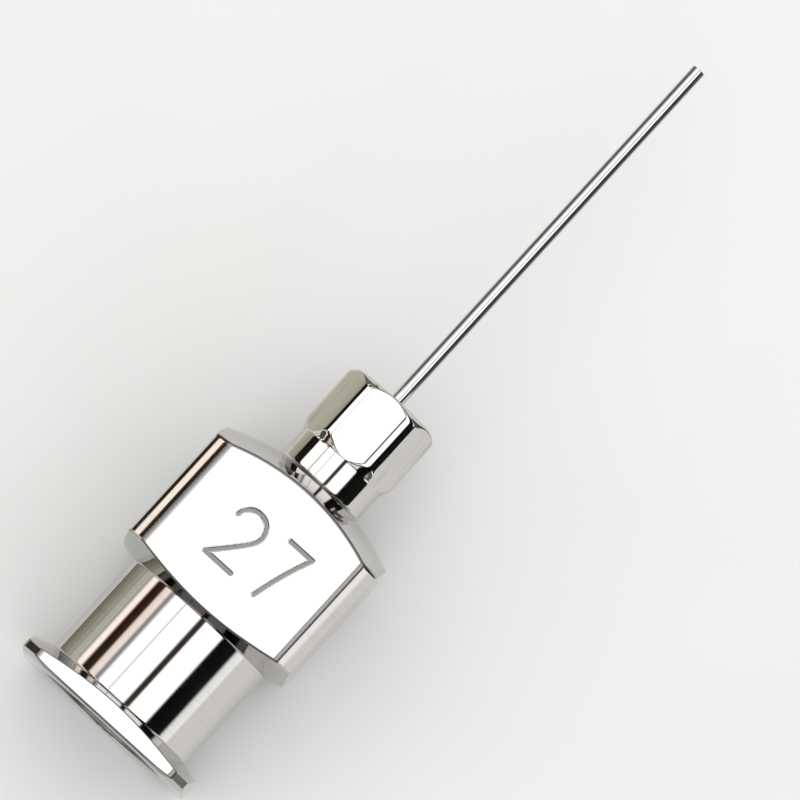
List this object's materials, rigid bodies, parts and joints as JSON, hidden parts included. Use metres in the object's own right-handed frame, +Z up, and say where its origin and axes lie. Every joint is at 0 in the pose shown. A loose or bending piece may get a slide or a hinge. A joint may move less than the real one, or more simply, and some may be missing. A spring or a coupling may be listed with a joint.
{
  "type": "dispensing needle tip",
  "caption": "All-metal blunt dispensing needle: hub turned from square bar with a female Luer-lock end and a hex-crimped nose holding a thin straight steel tube.",
  "frame": {"origin": "centre of the Luer socket's mouth, on the tip's axis", "axes": "+X along the axis from the mouth to the tube's blunt end; +Z up, square to one flat of the hub's block, with the opposite flat on the ground; +Y sideways, square to the other two flats"},
  "size_m": [0.0249, 0.006, 0.006],
  "materials": {
    "nickel_plate": "bright nickel plate on turned brass, close to a mirror, with fine mill marks on the flats",
    "tube_steel": "drawn stainless steel, smooth, with faint lengthwise lines"
  },
  "bodies": {
    "root": {"hub": "nickel_plate", "cannula": "tube_steel"}
  },
  "joints": []
}
